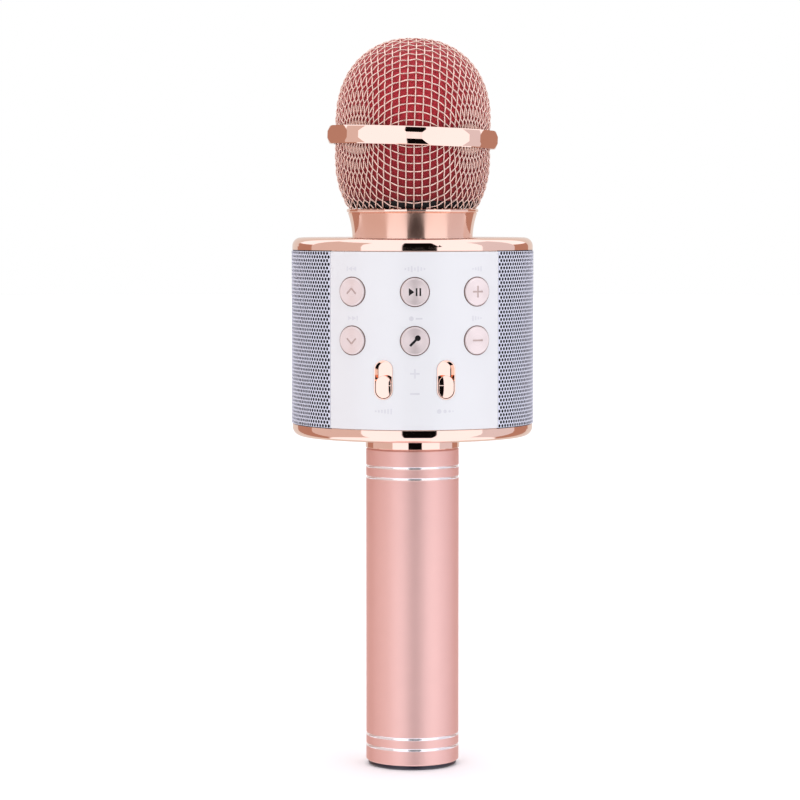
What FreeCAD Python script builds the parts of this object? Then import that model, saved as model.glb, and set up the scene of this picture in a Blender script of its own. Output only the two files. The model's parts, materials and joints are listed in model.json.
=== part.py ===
"""Handheld karaoke microphone with a twin-speaker drum, built as an assembly of separate pieces.

Millimetres, +Z up. The microphone stands on the end of its handle: the origin is the middle of
the foot. The button panel faces -Y and the socket panel faces +Y. Pieces around the drum are
built facing -Y and then turned about Z by an angle, positive towards +X.
"""
import FreeCAD, Part

import math
import os

from FreeCAD import Vector

# ---------------------------------------------------------------- driving dimensions
TOTAL_HEIGHT = 247.4

# handle
HANDLE_RADIUS = 15.8
HANDLE_WALL = 1.2
FOOT_HEIGHT = 1.5
FOOT_RADIUS = 15.0
HANDLE_TOP = 108.4
GROOVE_HEIGHTS = (6.9, 10.6, 98.7, 102.4)
GROOVE_WIDTH = 0.9
GROOVE_DEPTH = 0.16
COLLAR_RADIUS = 16.0
LEAD_BORE_RADIUS = 12.0

# speaker drum
DRUM_BOTTOM = 112.8
DRUM_TOP = 179.9
DRUM_RADIUS = 41.0
COVER_RADIUS = 40.8
COVER_HEIGHT = 4.4
COVER_PLATE = 2.4
COVER_ROUNDING = 2.9
PANEL_HALF_ANGLE = 42.4
PANEL_WALL = 1.9
MESH_WALL = 0.6
SEAM_GAP = 0.15

# buttons and sliders on the front panel
BUTTON_ANGLES = {"left": -30.0, "centre": 0.0, "right": 30.0}
BUTTON_ROWS = {"upper": 162.4, "lower": 146.4}
BUTTON_RADIUS = 4.6
BUTTON_PROUD = 0.5
BUTTON_GAP = 0.18
ICON_DEPTH = 0.2
SLIDER_ANGLE = 14.5
SLIDER_HEIGHT = 133.6
SLIDER_SLOT = (6.2, 13.0)
SLIDER_KNOB = (5.2, 7.4)
SLIDER_PROUD = 0.6
SLIDER_TRAVEL = 4.6
TRIM_WALL = 0.3
TRIM_FLARE = 0.45
TRIM_BACK = 38.9

# head
RING_HEIGHT = 213.7
RING_WIDTH = 6.1
RING_RADIUS = 28.9
RING_FLATS = 8
RING_FLAT_RADIUS = 27.6
RING_TILT = 2.0
GRILLE_RADIUS = 26.4
GRILLE_WALL = 1.0
DOME_CENTRE = 219.0
DOME_POWER = 2.15
BASKET_SHOULDER = 207.0
BASKET_ARC = 32.0
BASKET_BOTTOM = 189.6
FOAM_WALL = 6.0
NECK_TOP = 188.4
NECK_TOP_RADIUS = 21.9
NECK_FOOT_RADIUS = 20.4
LIP_RADIUS = 22.3

# speakers: 40 mm drivers, measured outwards from the drum's axis
BAFFLE_INNER = 26.0
BAFFLE_OUTER = 28.0
SPEAKER_SIDE = 40.0
SPEAKER_HOLE_OFFSET = 16.8
TERMINAL_TAB = ((-2.5, 2.5), (-17.0, -14.4), (19.6, 20.8))

# circuit boards
BOARD = 1.2
FRONT_BOARD = 30.0
SOCKET_BOARD = 24.0

# screws
SHANK_RADIUS = 0.95
SCREW_HOLE_RADIUS = 1.0
HEAD_RADIUS = 1.8
HEAD_HEIGHT = 1.2

# battery, a standard 18650 cell
CELL_RADIUS = 9.15
CELL_LENGTH = 65.0
CELL_BOTTOM = 13.5

# ---------------------------------------------------------------- derived dimensions
ORIGIN = Vector(0, 0, 0)
X, Y, Z = Vector(1, 0, 0), Vector(0, 1, 0), Vector(0, 0, 1)
LOWER_SEAM = DRUM_BOTTOM + COVER_HEIGHT
UPPER_SEAM = DRUM_TOP - COVER_HEIGHT
DRUM_MIDDLE = (LOWER_SEAM + UPPER_SEAM) / 2
DECK_RADIUS = 38.3
BATTERY_TOP = CELL_BOTTOM + CELL_LENGTH
KEY_BOARD_BOTTOM = 141.5
KEY_POST_HEIGHTS = (154.4, 170.0)
FRONT_POSTS = ((-5.2, 154.4), (5.2, 154.4), (-4.5, 122.0), (4.5, 122.0))
SOCKET_POSTS = ((-13.3, 121.8), (13.3, 121.8), (-13.3, 168.5), (13.3, 168.5))
SCREW_ANGLES = (90.0, 210.0, 330.0)
NECK_SCREW_CIRCLE = 18.6
COLLAR_SCREW_CIRCLE = 14.0

# sockets on the back, as (x, z) of their centres
POWER_AT = (0.0, 163.0)
LED_AT = (0.0, 153.8)
USB_AT = (0.0, 146.0)
CARD_AT = (0.0, 136.5)
CHARGE_AT = (-7.5, 126.5)
AUX_AT = (7.5, 126.5)
POWER_KNOB = (2.6, 3.6)
POWER_TRAVEL = 3.6


# ---------------------------------------------------------------- shape helpers
def cylinder(radius, bottom, top, x=0.0, y=0.0):
    """Upright cylinder between two heights."""
    return Part.makeCylinder(radius, top - bottom, Vector(x, y, bottom))


def ring(outer, inner, bottom, top):
    return cylinder(outer, bottom, top).cut(cylinder(inner, bottom - 1, top + 1))


def block(x_range, y_range, z_range):
    corner = Vector(x_range[0], y_range[0], z_range[0])
    size = [high - low for low, high in (x_range, y_range, z_range)]
    return Part.makeBox(*size, corner)


def rod(radius, start, end):
    """Cylinder between two points."""
    along = Vector(*end) - Vector(*start)
    return Part.makeCylinder(radius, along.Length, Vector(*start), along)


def facing_rod(radius, inner, outer, x=0.0, z=0.0):
    """Cylinder along Y, between two distances in front of the axis."""
    return rod(radius, (x, -inner, z), (x, -outer, z))


def outline(*steps):
    """Closed face in the XZ plane. A step is a point (r, z), or (middle, end) of an arc."""
    def to_vector(point):
        return Vector(point[0], 0, point[1])

    start = here = to_vector(steps[0])
    edges = []
    for step in steps[1:]:
        if isinstance(step[0], tuple):
            middle, end = to_vector(step[0]), to_vector(step[1])
            edges.append(Part.Arc(here, middle, end).toShape())
        else:
            end = to_vector(step)
            edges.append(Part.makeLine(here, end))
        here = end
    if here.distanceToPoint(start) > 1e-7:
        edges.append(Part.makeLine(here, start))
    return Part.Face(Part.Wire(edges))


def turned(*steps):
    """Solid of revolution about Z."""
    return outline(*steps).revolve(ORIGIN, Z, 360)


def oval_wire(width, height, distance, centre_height):
    """Upright oval outline, at a distance in front of the axis."""
    radius = width / 2
    straight = height / 2 - radius

    def point(x, z):
        return Vector(x, -distance, centre_height + z)

    right, left = point(radius, straight), point(-radius, straight)
    low_right, low_left = point(radius, -straight), point(-radius, -straight)
    return Part.Wire([
        Part.makeLine(low_right, right),
        Part.Arc(right, point(0, height / 2), left).toShape(),
        Part.makeLine(left, low_left),
        Part.Arc(low_left, point(0, -height / 2), low_right).toShape(),
    ])


def oval(width, height, inner, outer, centre_height):
    """Upright oval bar along Y, between two distances in front of the axis."""
    face = Part.Face(oval_wire(width, height, inner, centre_height))
    return face.extrude(Vector(0, inner - outer, 0))


def flared_oval(width, height, flare, inner, outer, centre_height):
    """Oval bar that is wider all round by the flare at its outer end."""
    wires = [
        oval_wire(width, height, inner, centre_height),
        oval_wire(width + 2 * flare, height + 2 * flare, outer, centre_height),
    ]
    return Part.makeLoft(wires, True, True)


def at_angle(shape, degrees):
    return shape.rotated(ORIGIN, Z, degrees)


def sector(degrees_from, degrees_to, outer, bottom, top):
    """Pie slice whose angles are measured from -Y, positive towards +X."""
    slice_ = Part.makeCylinder(
        outer, top - bottom, Vector(0, 0, bottom), Z, degrees_to - degrees_from
    )
    return at_angle(slice_, degrees_from - 90)


def curved_wall(degrees_from, degrees_to, outer, thickness, bottom, top):
    wall = ring(outer, outer - thickness, bottom, top)
    return wall.common(sector(degrees_from, degrees_to, outer + 5, bottom, top))


def screw(tip, head_seat):
    """Pan-head screw from its tip to the face that its head sits on."""
    along = (Vector(*head_seat) - Vector(*tip)).normalize()
    head_top = Vector(*head_seat) + along * HEAD_HEIGHT
    shank = rod(SHANK_RADIUS, tip, head_seat)
    head = rod(HEAD_RADIUS, head_seat, head_top)
    recess = rod(0.7, head_top - along * 0.6, head_top + along)
    return shank.fuse(head).cut(recess)


def together(shapes):
    return Part.makeCompound(list(shapes))


def mirrored(shape):
    return shape.mirror(ORIGIN, X)


def on_circle(radius, degrees):
    angle = math.radians(degrees)
    return radius * math.cos(angle), radius * math.sin(angle)


# ---------------------------------------------------------------- head
def dome_curve(radius, height):
    """Quarter of a superellipse, from the equator to the top."""
    steps = 10
    points = []
    for i in range(steps + 1):
        angle = math.pi / 2 * i / steps
        points.append(Vector(
            radius * math.cos(angle) ** (2 / DOME_POWER) if i < steps else 0,
            0,
            DOME_CENTRE + height * math.sin(angle) ** (2 / DOME_POWER),
        ))
    curve = Part.BSplineCurve()
    curve.interpolate(Points=points, InitialTangent=Z, FinalTangent=-X)
    return curve.toShape()


def domed(radius, wall, skirt):
    """Closed shell of revolution: a dome on a skirt, given as (r, z) points going down
    the outside and back up the inside, between the two equators."""
    height = TOTAL_HEIGHT - DOME_CENTRE - (GRILLE_RADIUS - radius)
    outer = dome_curve(radius, height)
    inner = dome_curve(radius - wall, height - wall)
    corners = [(radius, DOME_CENTRE), *skirt, (radius - wall, DOME_CENTRE)]
    corners = [Vector(r, 0, z) for r, z in corners]
    top = Vector(0, 0, DOME_CENTRE + height)
    lines = [Part.makeLine(top, top - Z * wall)]
    lines += [Part.makeLine(start, end) for start, end in zip(corners, corners[1:])]
    wire = Part.Wire(Part.__sortEdges__([outer, inner, *lines]))
    return Part.Face(wire).revolve(ORIGIN, Z, 360)


def tilted(shape):
    """The ring was pressed on a little out of square, and the dome sits in it."""
    return shape.rotated(Vector(0, 0, RING_HEIGHT), Y, RING_TILT)


def basket_radius(height):
    """Outer radius of the lower grille, which curves in below its shoulder."""
    drop = max(BASKET_SHOULDER - height, 0.0)
    return GRILLE_RADIUS - BASKET_ARC + math.sqrt(BASKET_ARC**2 - drop**2)


def basket_steps(inset, bottom, top):
    """Outline steps down the lower grille's side, at a distance inside its surface."""
    half_way = (BASKET_SHOULDER + bottom) / 2
    point = lambda z: (basket_radius(z) - inset, z)
    return [point(top), point(BASKET_SHOULDER), (point(half_way), point(bottom))]


def upper_grille_dome():
    bottom = RING_HEIGHT + 1.1
    skirt = [(GRILLE_RADIUS, bottom), (GRILLE_RADIUS - GRILLE_WALL, bottom)]
    return tilted(domed(GRILLE_RADIUS, GRILLE_WALL, skirt))


def lower_grille_basket():
    top = RING_HEIGHT - 1.1
    outer = basket_steps(0.0, BASKET_BOTTOM, top)
    down = basket_steps(GRILLE_WALL, BASKET_BOTTOM, top)
    inner = [down[2][1], (down[2][0], down[1]), down[0]]
    return turned(*outer, *inner)


def grille_ring():
    """Pressed band with wide chamfers and a ring of flats that stop it rolling."""
    half = RING_WIDTH / 2
    bore = GRILLE_RADIUS + 0.2
    band = turned(
        (bore, -half), (RING_RADIUS - 0.9, -half), (RING_RADIUS - 0.65, -half + 0.3),
        (RING_RADIUS, -1.1), (RING_RADIUS, 1.1), (RING_RADIUS - 0.65, half - 0.3),
        (RING_RADIUS - 0.9, half), (bore, half),
    )
    beyond = block((RING_FLAT_RADIUS, 40), (-40, 40), (-half - 1, half + 1))
    for flat in range(RING_FLATS):
        band = band.cut(beyond.rotated(ORIGIN, Z, (flat + 0.5) * 360 / RING_FLATS))
    return tilted(band.translated(Vector(0, 0, RING_HEIGHT)))


def grille_base_ring():
    """Lip that carries the basket, with the male thread that screws down into the neck."""
    return turned(
        (17.2, 185.2), (18.4, 185.2), (18.4, NECK_TOP), (LIP_RADIUS - 0.3, NECK_TOP),
        (LIP_RADIUS, NECK_TOP + 0.3), (LIP_RADIUS, BASKET_BOTTOM - 0.3),
        (LIP_RADIUS - 0.3, BASKET_BOTTOM), (17.2, BASKET_BOTTOM),
    )


def foam_liner():
    """Hollow foam pop filter, pushed up into the dome and leaning with it."""
    radius = GRILLE_RADIUS - GRILLE_WALL - 0.3
    lean = (BASKET_SHOULDER - BASKET_BOTTOM) * math.tan(math.radians(RING_TILT))
    inset = GRILLE_WALL + 0.4 + lean
    bottom = BASKET_BOTTOM + 2.9
    heights = (RING_HEIGHT, BASKET_SHOULDER, 202.0, 197.0, bottom)
    outside = [(basket_radius(z) - inset, z) for z in heights]
    inside = [(17.8, bottom), (17.8, 198.0), (radius - FOAM_WALL, 204.0)]
    return tilted(domed(radius, FOAM_WALL, outside + inside))


def capsule_bracket():
    """Black post that stands in the neck and carries the capsule."""
    return turned(
        (14.5, 183.5), (18.3, 183.5), (18.3, 185.0), (16.5, 185.0), (16.5, 191.6),
        (5.0, 191.6), (5.0, 190.0), (14.5, 190.0),
    )


def capsule_shock_mount():
    """Ribbed rubber cup round the capsule."""
    steps = [(4.0, 191.6), (12.5, 191.6)]
    for rib in range(4):
        z = 193.6 + rib * 3.6
        steps += [(12.5, z), (11.9, z + 0.6), (11.9, z + 1.8), (12.5, z + 2.4)]
    return turned(*steps, (12.5, 207.6), (11.0, 207.6), (11.0, 193.6), (4.0, 193.6))


def mic_capsule():
    """Cartridge with a ring of sound holes in its lid and a solder stub below."""
    body = turned(
        (0, 193.6), (10.9, 193.6), (10.9, 207.0), (10.3, 209.2), (0, 209.2),
    )
    holes = [
        cylinder(0.9, 208.2, 210.0, *on_circle(radius, 360 * i / count))
        for radius, count in ((0.0, 1), (3.4, 6), (6.8, 12))
        for i in range(count)
    ]
    stub = cylinder(2.4, 191.6, 193.6)
    return body.cut(together(holes)).fuse(stub)


# ---------------------------------------------------------------- neck and drum shells
def neck_collar():
    """Tapered plated collar with the thread for the grille and blind screw holes below."""
    body = turned(
        (16.8, DRUM_TOP), (NECK_FOOT_RADIUS, DRUM_TOP),
        ((20.9, 184.4), (NECK_TOP_RADIUS, NECK_TOP - 0.3)),
        (NECK_TOP_RADIUS - 0.3, NECK_TOP), (18.5, NECK_TOP), (18.5, 183.5), (16.8, 183.5),
    )
    holes = [
        cylinder(SCREW_HOLE_RADIUS, DRUM_TOP - 1, 183.0, *on_circle(NECK_SCREW_CIRCLE, a))
        for a in SCREW_ANGLES
    ]
    return body.cut(together(holes))


def cover(bore, screw_circle):
    """Plated end cover of the drum, built as the bottom one: plate, rim and mesh lips."""
    turn_centre = (COVER_RADIUS - COVER_ROUNDING, DRUM_BOTTOM + COVER_ROUNDING)
    reach = COVER_ROUNDING * math.sqrt(0.5)
    rounding = (
        (turn_centre[0] + reach, turn_centre[1] - reach),
        (COVER_RADIUS, turn_centre[1]),
    )
    deck = DRUM_BOTTOM + COVER_PLATE
    body = turned(
        (bore, DRUM_BOTTOM), (COVER_RADIUS - COVER_ROUNDING, DRUM_BOTTOM), rounding,
        (COVER_RADIUS, LOWER_SEAM - 0.3), (COVER_RADIUS - 0.3, LOWER_SEAM),
        (38.6, LOWER_SEAM), (38.6, deck), (bore, deck),
    )
    lips = [
        curved_wall(side * 90 - 44, side * 90 + 44, 40.2, 1.6, LOWER_SEAM, LOWER_SEAM + 1.8)
        for side in (-1, 1)
    ]
    holes = [
        cylinder(SCREW_HOLE_RADIUS, DRUM_BOTTOM - 1, deck + 1, *on_circle(screw_circle, a))
        for a in SCREW_ANGLES
    ]
    return body.fuse(lips).cut(together(holes))


def bottom_cover():
    return cover(LEAD_BORE_RADIUS, COLLAR_SCREW_CIRCLE)


def top_cover():
    upside_down = cover(LEAD_BORE_RADIUS, NECK_SCREW_CIRCLE)
    return upside_down.mirror(Vector(0, 0, DRUM_MIDDLE), Z)


def chassis():
    """Inner frame: two round decks joined by the two speaker baffles."""
    decks = [
        (DRUM_BOTTOM + COVER_PLATE, LOWER_SEAM, COLLAR_SCREW_CIRCLE),
        (UPPER_SEAM, DRUM_TOP - COVER_PLATE, NECK_SCREW_CIRCLE),
    ]
    shape = None
    for bottom, top, screw_circle in decks:
        deck = ring(DECK_RADIUS, LEAD_BORE_RADIUS, bottom, top)
        for angle in SCREW_ANGLES:
            at = on_circle(screw_circle, angle)
            deck = deck.cut(cylinder(SCREW_HOLE_RADIUS, bottom - 1, top + 1, *at))
        shape = deck if shape is None else shape.fuse(deck)
    for side in (-1, 1):
        x_range = sorted((side * BAFFLE_INNER, side * BAFFLE_OUTER))
        baffle = block(x_range, (-24, 24), (LOWER_SEAM, UPPER_SEAM))
        cutters = [rod(18.1, (side * 20, 0, DRUM_MIDDLE), (side * 35, 0, DRUM_MIDDLE))]
        for y, z in speaker_corners():
            cutters.append(rod(SCREW_HOLE_RADIUS, (side * 20, y, z), (side * 35, y, z)))
        shape = shape.fuse(baffle.cut(together(cutters)))
    return shape.removeSplitter()


def speaker_corners():
    offset = SPEAKER_HOLE_OFFSET
    return [(y, DRUM_MIDDLE + z) for y in (-offset, offset) for z in (-offset, offset)]


def post(x, z, board_face):
    """Blind screw post on a panel, from the panel's wall back to a board, facing -Y."""
    wall = math.sqrt((DRUM_RADIUS - PANEL_WALL) ** 2 - x * x) + 0.8
    body = facing_rod(1.7, board_face, wall, x, z)
    hole = facing_rod(SCREW_HOLE_RADIUS, board_face - 1, board_face + 5, x, z)
    return body, hole


def button_places():
    """(name, angle, height) of the six buttons."""
    for row, height in BUTTON_ROWS.items():
        for column, angle in BUTTON_ANGLES.items():
            yield f"{row}_{column}", angle, height


def panel_shell():
    return curved_wall(
        -PANEL_HALF_ANGLE, PANEL_HALF_ANGLE, DRUM_RADIUS, PANEL_WALL, LOWER_SEAM, UPPER_SEAM
    )


def front_panel():
    posts = [post(x, z, FRONT_BOARD) for x, z in FRONT_POSTS]
    for angle in (BUTTON_ANGLES["left"], BUTTON_ANGLES["right"]):
        for z in KEY_POST_HEIGHTS:
            posts.append([at_angle(part, angle) for part in post(0, z, FRONT_BOARD)])
    cutters = [hole for _, hole in posts]
    for _, angle, z in button_places():
        bore = facing_rod(BUTTON_RADIUS + BUTTON_GAP, 35, 45, 0, z)
        cutters.append(at_angle(bore, angle))
    width, height = (size + 0.1 for size in SLIDER_SLOT)
    for side in (-1, 1):
        slot = oval(width, height, 35, 45, SLIDER_HEIGHT)
        cutters.append(at_angle(slot, side * SLIDER_ANGLE))
    shape = panel_shell().fuse([body for body, _ in posts])
    for cutter in cutters:
        shape = shape.cut(cutter)
    return shape


def socket_window(at, width, height):
    """Rectangular hole through the back panel, with the back facing -Y while building."""
    x, z = at
    return block(
        (-x - width / 2, -x + width / 2), (-45, -35), (z - height / 2, z + height / 2)
    )


def rear_panel():
    """Built facing -Y like the front one and turned half way round."""
    posts = [post(-x, z, SOCKET_BOARD + BOARD) for x, z in SOCKET_POSTS]
    slot_height = POWER_KNOB[1] + POWER_TRAVEL + 0.6
    cutters = [hole for _, hole in posts] + [
        socket_window(USB_AT, 13.5, 6.1),
        socket_window(CARD_AT, 12.6, 2.2),
        socket_window(CHARGE_AT, 8.6, 3.8),
        socket_window(POWER_AT, POWER_KNOB[0] + 0.6, slot_height),
        facing_rod(3.1, 35, 45, -AUX_AT[0], AUX_AT[1]),
        facing_rod(1.1, 35, 45, -LED_AT[0], LED_AT[1]),
    ]
    shape = panel_shell().fuse([body for body, _ in posts])
    for cutter in cutters:
        shape = shape.cut(cutter)
    return at_angle(shape, 180)


def right_speaker_mesh():
    """Plain curved sheet at the perforated steel's outer size."""
    gap = math.degrees(SEAM_GAP / DRUM_RADIUS)
    start = PANEL_HALF_ANGLE + gap
    return curved_wall(start, 180 - start, DRUM_RADIUS, MESH_WALL, LOWER_SEAM, UPPER_SEAM)


# ---------------------------------------------------------------- buttons and sliders
def stroke(x0, z0, x1, z1, width=0.55):
    """Engraving cutter for one straight line of an icon, in the plane of the button's face."""
    run = Vector(x1 - x0, 0, z1 - z0)
    bar = block((0, run.Length), (-1, ICON_DEPTH), (-width / 2, width / 2))
    bar.rotate(ORIGIN, Y, -math.degrees(math.atan2(run.z, run.x)))
    return bar.translated(Vector(x0, 0, z0))


def play_icon():
    triangle = Part.makePolygon([
        Vector(-2.0, -1, -1.3), Vector(-2.0, -1, 1.3), Vector(-0.2, -1, 0), Vector(-2.0, -1, -1.3)
    ])
    arrow = Part.Face(triangle).extrude(Vector(0, 1 + ICON_DEPTH, 0))
    return [arrow, stroke(0.55, -1.3, 0.55, 1.3), stroke(1.75, -1.3, 1.75, 1.3)]


def microphone_icon():
    """Slanted ball and handle."""
    ball = Part.makeCylinder(0.95, 1 + ICON_DEPTH, Vector(0.95, -1, 0.95), Y)
    return [ball, stroke(0.3, 0.3, -1.6, -1.6, 0.8)]


ICONS = {
    "upper_left": [stroke(-1.7, -0.7, 0, 1.1), stroke(0, 1.1, 1.7, -0.7)],
    "lower_left": [stroke(-1.7, 0.7, 0, -1.1), stroke(0, -1.1, 1.7, 0.7)],
    "upper_right": [stroke(-1.9, 0, 1.9, 0), stroke(0, -1.9, 0, 1.9)],
    "lower_right": [stroke(-1.9, 0, 1.9, 0)],
    "upper_centre": play_icon(),
    "lower_centre": microphone_icon(),
}


def button(name, angle, height):
    """Plated cap with a rounded-off rim, a retaining flange behind the panel and a stem."""
    face = DRUM_RADIUS + BUTTON_PROUD
    rim = 0.35
    profile = outline(
        (0, 34.9), (1.5, 34.9), (1.5, 37.4), (5.3, 37.4), (5.3, 38.2),
        (BUTTON_RADIUS, 38.2), (BUTTON_RADIUS, face - rim), (BUTTON_RADIUS - rim, face),
        (0, face),
    )
    cap = profile.revolve(ORIGIN, Z, 360).rotated(ORIGIN, X, 90)
    for cutter in ICONS[name]:
        cap = cap.cut(cutter.translated(Vector(0, -face, 0)))
    return at_angle(cap.translated(Vector(0, 0, height)), angle)


def slider_trim():
    """Plated oval rim in the panel with flared walls. The knob's apron is its floor."""
    width, height = SLIDER_SLOT
    top = DRUM_RADIUS + 0.12
    throat = 2 * (TRIM_WALL + TRIM_FLARE)
    hollow = flared_oval(
        width - throat, height - throat, TRIM_FLARE, TRIM_BACK, top, SLIDER_HEIGHT
    )
    return oval(width, height, TRIM_BACK, top, SLIDER_HEIGHT).cut(hollow)


def slider_knob():
    """Crowned oval knob at the foot of its slot, with an apron that covers the slot's back."""
    width, height = SLIDER_KNOB
    half_slot = SLIDER_SLOT[1] / 2 - TRIM_WALL
    centre = SLIDER_HEIGHT - SLIDER_TRAVEL / 2
    top = DRUM_RADIUS + SLIDER_PROUD
    crown_radius = 12.0
    crown = Part.makeSphere(crown_radius, Vector(0, crown_radius - top, centre))
    cap = oval(width, height, 40.7, top, centre).common(crown)
    rim = [edge for edge in cap.Edges if edge.CenterOfMass.y < -DRUM_RADIUS]
    cap = cap.makeFillet(0.2, rim)
    neck = oval(width - 1.8, height - 2.0, 38.4, 40.7, centre)
    apron = block(
        (-2.9, 2.9), (-38.6, -38.25),
        (SLIDER_HEIGHT - half_slot - SLIDER_TRAVEL, SLIDER_HEIGHT + half_slot),
    )
    stem = block((-0.7, 0.7), (-38.4, -34.6), (centre - 0.8, centre + 0.8))
    return cap.fuse([neck, apron, stem])


def slide_pot():
    """Potentiometer body with the groove that the knob's stem runs in."""
    bottom, top = SLIDER_HEIGHT - 9.0, SLIDER_HEIGHT + 7.6
    body = block((-2.5, 2.5), (-35.8, -31.8), (bottom, top))
    groove = block((-1.0, 1.0), (-37, -34.0), (bottom + 1.4, top - 1.4))
    return body.cut(groove)


def tact_switch():
    """Square push switch with its round plunger, on the front face of a board."""
    body = block((-3, 3), (-FRONT_BOARD - 3.6, -FRONT_BOARD), (-3, 3))
    return body.fuse(facing_rod(1.7, FRONT_BOARD + 3.6, FRONT_BOARD + 4.3))


# ---------------------------------------------------------------- boards
def drilled(board, places, board_y):
    for x, z in places:
        board = board.cut(rod(SCREW_HOLE_RADIUS, (x, board_y - 5, z), (x, board_y + 5, z)))
    return board


def main_pcb():
    """Front board: narrow between the side keys, wide behind the sliders."""
    y_range = (-FRONT_BOARD, -FRONT_BOARD + BOARD)
    narrow = block((-7.5, 7.5), y_range, (KEY_BOARD_BOTTOM, 171.5))
    wide = block((-15.5, 15.5), y_range, (119.5, KEY_BOARD_BOTTOM))
    board = narrow.fuse(wide).removeSplitter()
    return drilled(board, FRONT_POSTS, -FRONT_BOARD)


def side_key_board():
    y_range = (-FRONT_BOARD, -FRONT_BOARD + BOARD)
    board = block((-6.5, 6.5), y_range, (KEY_BOARD_BOTTOM, 173.0))
    return drilled(board, [(0, z) for z in KEY_POST_HEIGHTS], -FRONT_BOARD)


def pcb_components():
    """Radio module, amplifier, coil and capacitors on the back of the main board."""
    back = -FRONT_BOARD + BOARD
    parts = [
        block((-6.0, 6.0), (back, back + 1.8), (158.5, 170.0)),
        block((-3.0, 3.0), (back, back + 1.4), (143.5, 149.5)),
        block((-10.5, -4.5), (back, back + 2.8), (127.0, 133.0)),
    ]
    for x in (2.0, 7.5):
        parts.append(rod(2.4, (x, back, 129.5), (x, back + 6.5, 129.5)))
    return together(parts)


def port_pcb():
    board = block((-16.0, 16.0), (SOCKET_BOARD, SOCKET_BOARD + BOARD), (119.5, 171.5))
    return drilled(board, SOCKET_POSTS, SOCKET_BOARD)


# ---------------------------------------------------------------- sockets on the back
def socket_shell(at, width, height, mouth, wall, floor):
    """Rectangular socket on the port board, open towards +Y."""
    x, z = at
    board = SOCKET_BOARD + BOARD
    inner_width, inner_height = width - 2 * wall, height - 2 * wall
    outer = block(
        (x - width / 2, x + width / 2), (board, mouth), (z - height / 2, z + height / 2)
    )
    hollow = block(
        (x - inner_width / 2, x + inner_width / 2), (floor, mouth + 1),
        (z - inner_height / 2, z + inner_height / 2),
    )
    return outer.cut(hollow)


def socket_tongue(at, width, low, high, floor, tip):
    x, z = at
    return block((x - width / 2, x + width / 2), (floor - 0.5, tip), (z + low, z + high))


def usb_socket():
    shell = socket_shell(USB_AT, 13.1, 5.7, 39.6, 0.35, 27.4)
    return shell.fuse(socket_tongue(USB_AT, 11.1, 0.2, 2.1, 27.4, 38.4))


def charging_socket():
    shell = socket_shell(CHARGE_AT, 7.8, 3.0, 39.0, 0.35, 31.0)
    return shell.fuse(socket_tongue(CHARGE_AT, 3.8, 0.1, 0.7, 31.0, 38.4))


def card_slot():
    return socket_shell(CARD_AT, 14.0, 2.6, 38.4, 0.6, 26.6)


def aux_jack():
    """3.5 mm jack: a square body with a round nose, bored from the mouth."""
    x, z = AUX_AT
    body = block((x - 3.5, x + 3.5), (SOCKET_BOARD + BOARD, 36.0), (z - 3.5, z + 3.5))
    nose = rod(2.9, (x, 36.0, z), (x, 39.2, z))
    bore = rod(1.8, (x, 27.2, z), (x, 40.0, z))
    return body.fuse(nose).cut(bore)


def power_switch_body():
    x, z = POWER_AT
    body = block((x - 3.4, x + 3.4), (SOCKET_BOARD + BOARD, 36.4), (z - 6.2, z + 6.2))
    groove = block((x - 1.0, x + 1.0), (34.4, 37), (z - 4.6, z + 4.6))
    return body.cut(groove)


def power_switch_knob():
    """Ribbed slide at the lower, off end of its slot."""
    x, z = POWER_AT
    width, height = POWER_KNOB
    bottom = z - (height + POWER_TRAVEL) / 2
    top = bottom + height
    knob = block((x - width / 2, x + width / 2), (38.2, 41.5), (bottom, top))
    stem = block((x - 0.7, x + 0.7), (34.8, 38.3), (bottom + 1.0, top - 1.0))
    ribs = [
        block((x - 2, x + 2), (41.2, 42), (bottom + offset, bottom + offset + 0.4))
        for offset in (0.6, 1.6, 2.6)
    ]
    return knob.fuse(stem).cut(together(ribs))


def status_led():
    """Clear light pipe in front of its lamp."""
    x, z = LED_AT
    lamp = block((x - 1.4, x + 1.4), (SOCKET_BOARD + BOARD, 26.4), (z - 0.9, z + 0.9))
    pipe = rod(1.0, (x, 26.4, z), (x, 41.1, z))
    return lamp.fuse(pipe)


# ---------------------------------------------------------------- speakers
def outwards(shape):
    """Takes a speaker piece built about Z to the +X side of the drum."""
    return shape.rotated(ORIGIN, Y, 90).translated(Vector(0, 0, DRUM_MIDDLE))


def speaker_frame():
    """Pressed basket on a square flange, with four windows and a terminal tab."""
    half = SPEAKER_SIDE / 2
    flange = block((-half, half), (-half, half), (BAFFLE_OUTER, BAFFLE_OUTER + 1))
    upright = [edge for edge in flange.Edges if abs(edge.tangentAt(edge.FirstParameter).z) > 0.9]
    flange = flange.makeFillet(4.0, upright).cut(cylinder(17.2, 20, 35))
    for x in (-SPEAKER_HOLE_OFFSET, SPEAKER_HOLE_OFFSET):
        for y in (-SPEAKER_HOLE_OFFSET, SPEAKER_HOLE_OFFSET):
            flange = flange.cut(cylinder(SCREW_HOLE_RADIUS, 20, 35, x, y))
    basket = turned(
        (17.2, 29.0), (17.9, 29.0), (17.9, 27.6), (13.6, 17.6), (13.6, 16.0), (7.4, 16.0),
        (7.4, 16.8), (12.9, 16.8), (12.9, 17.8), (17.2, 27.9),
    )
    for angle in (45, 135, 225, 315):
        window = block((9, 22), (-5.5, 5.5), (19.0, 25.5))
        basket = basket.cut(window.rotated(ORIGIN, Z, angle))
    return outwards(flange.fuse([basket, block(*TERMINAL_TAB)]))


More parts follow.
